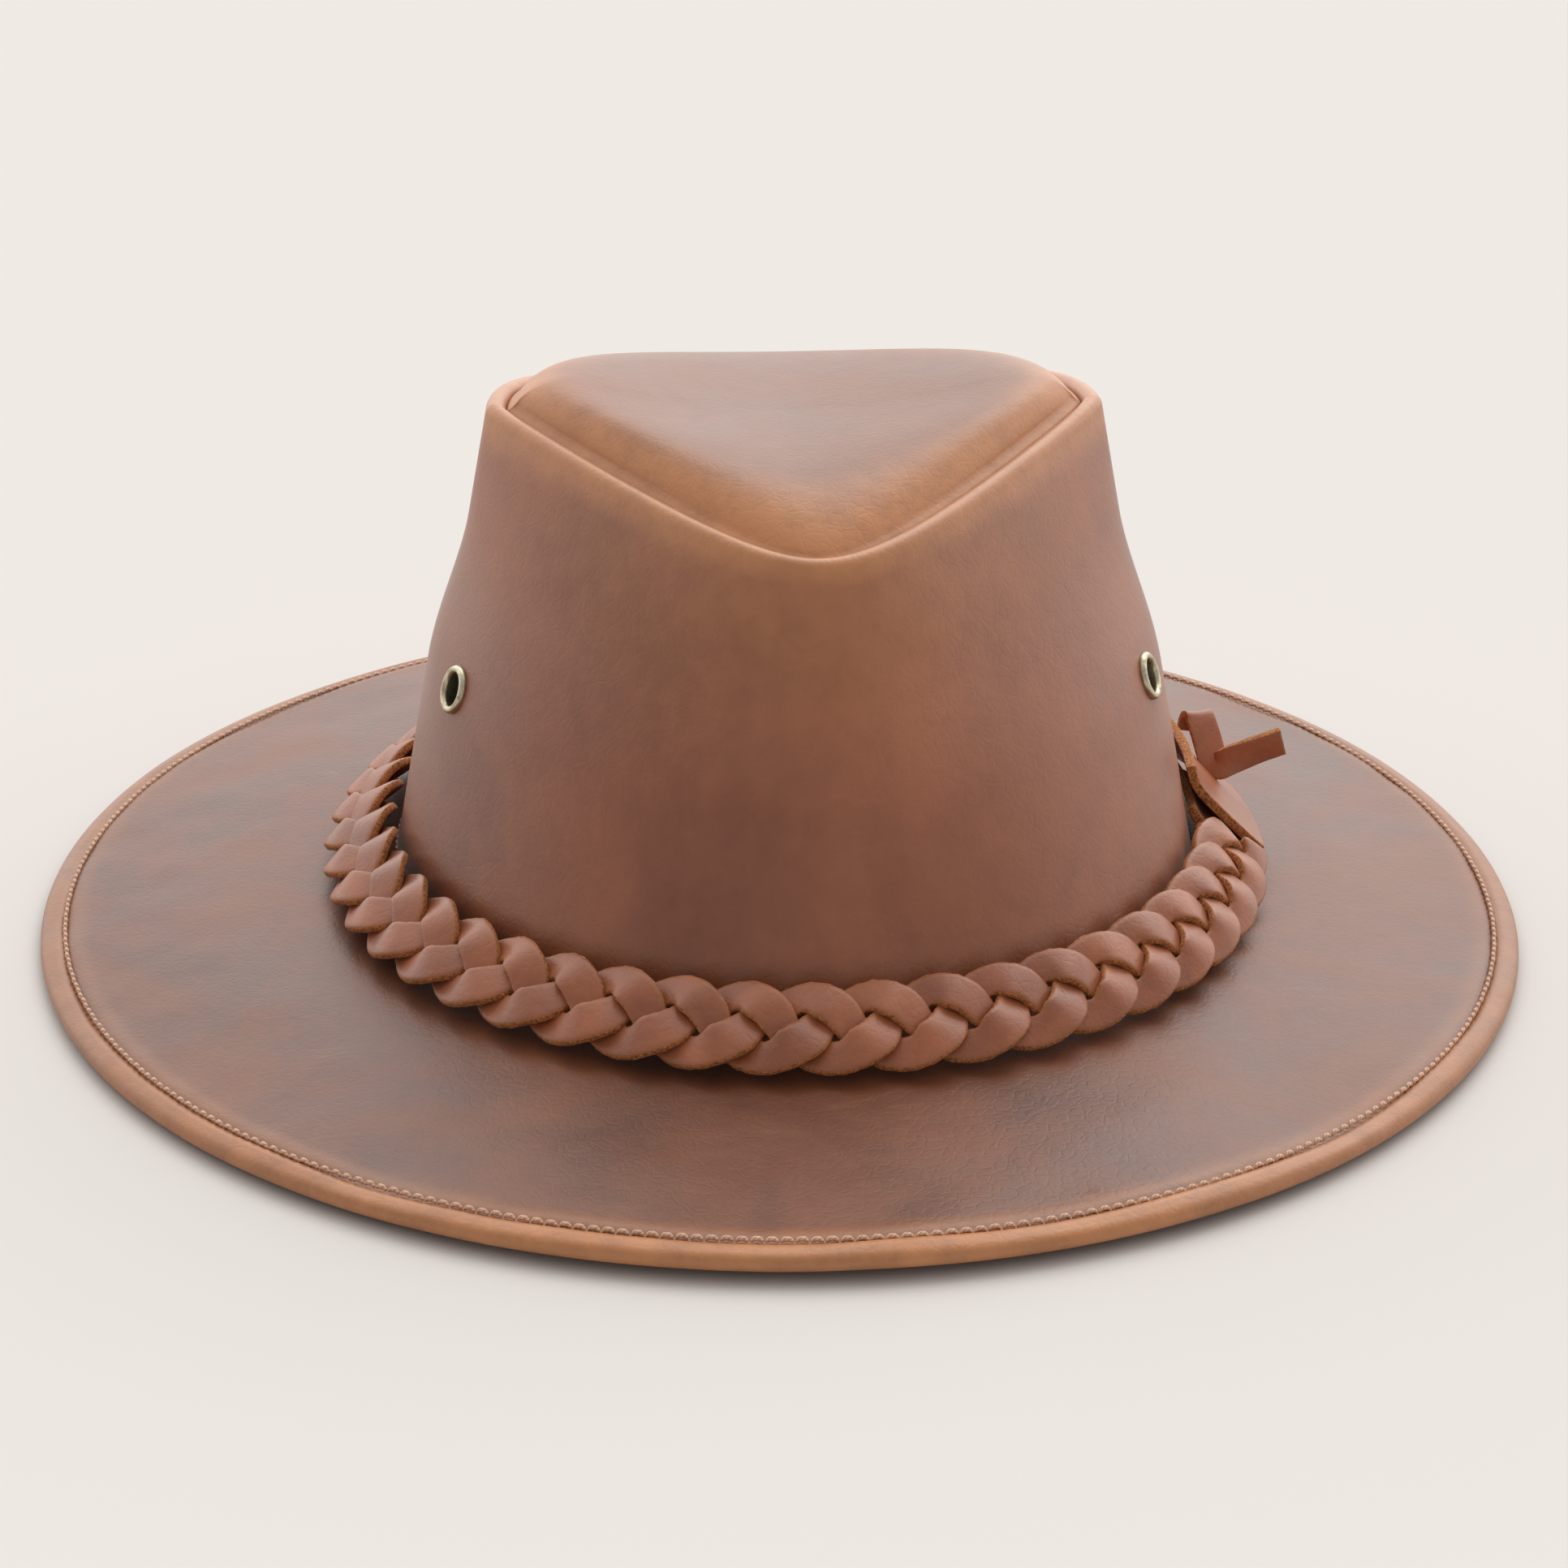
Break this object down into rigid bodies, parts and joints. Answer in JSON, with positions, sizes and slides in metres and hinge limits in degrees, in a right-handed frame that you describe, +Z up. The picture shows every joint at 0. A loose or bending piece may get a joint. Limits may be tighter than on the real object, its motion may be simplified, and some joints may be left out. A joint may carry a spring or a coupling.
{
  "type": "cowboy hat",
  "caption": "Wide-brimmed leather hat with a creased crown, a hemmed and wired brim, vent eyelets and a loose braided band that lifts off.",
  "frame": {"origin": "middle of the flat surface that the brim rests on, below the middle of the brim", "axes": "+Z up through the crown; the front of the hat faces -Y; +X is the wearer's left, which a viewer in front sees on the right"},
  "size_m": [0.3246, 0.3562, 0.1183],
  "materials": {
    "crown_leather": "oiled pull-up leather, satin",
    "brim_leather": "oiled pull-up leather, satin",
    "sweatband_leather": "vegetable-tanned lining leather, matt",
    "strap_leather": "oiled strap leather with raw cut edges",
    "thread": "twisted polyester thread",
    "eyelet_brass": "antique brass plate",
    "wire_steel": "drawn spring wire"
  },
  "bodies": {
    "hat": {"crown_side": "crown_leather", "crown_tip": "crown_leather", "crown_tip_stitching": "thread", "back_seam_stay": "crown_leather", "back_seam_stitching": "thread", "brim": "brim_leather", "brim_wire": "wire_steel", "brim_edge_stitching": "thread", "crown_brim_stitching": "thread", "sweatband": "sweatband_leather", "sweatband_stitching": "thread", "eyelet_left_front": "eyelet_brass", "eyelet_left_rear": "eyelet_brass", "eyelet_right_front": "eyelet_brass", "eyelet_right_rear": "eyelet_brass", "washer_left_front": "eyelet_brass", "washer_left_rear": "eyelet_brass", "washer_right_front": "eyelet_brass", "washer_right_rear": "eyelet_brass"},
    "hat_band": {"braid_strand_1": "strap_leather", "braid_strand_2": "strap_leather", "braid_strand_3": "strap_leather", "band_outer_end": "strap_leather", "band_inner_end": "strap_leather", "band_thong": "strap_leather"}
  },
  "joints": [
    {"name": "band_lift", "type": "slide", "parent": "hat", "child": "hat_band", "axis": [0, 0, 1], "range_m": [0, 0.12]}
  ]
}
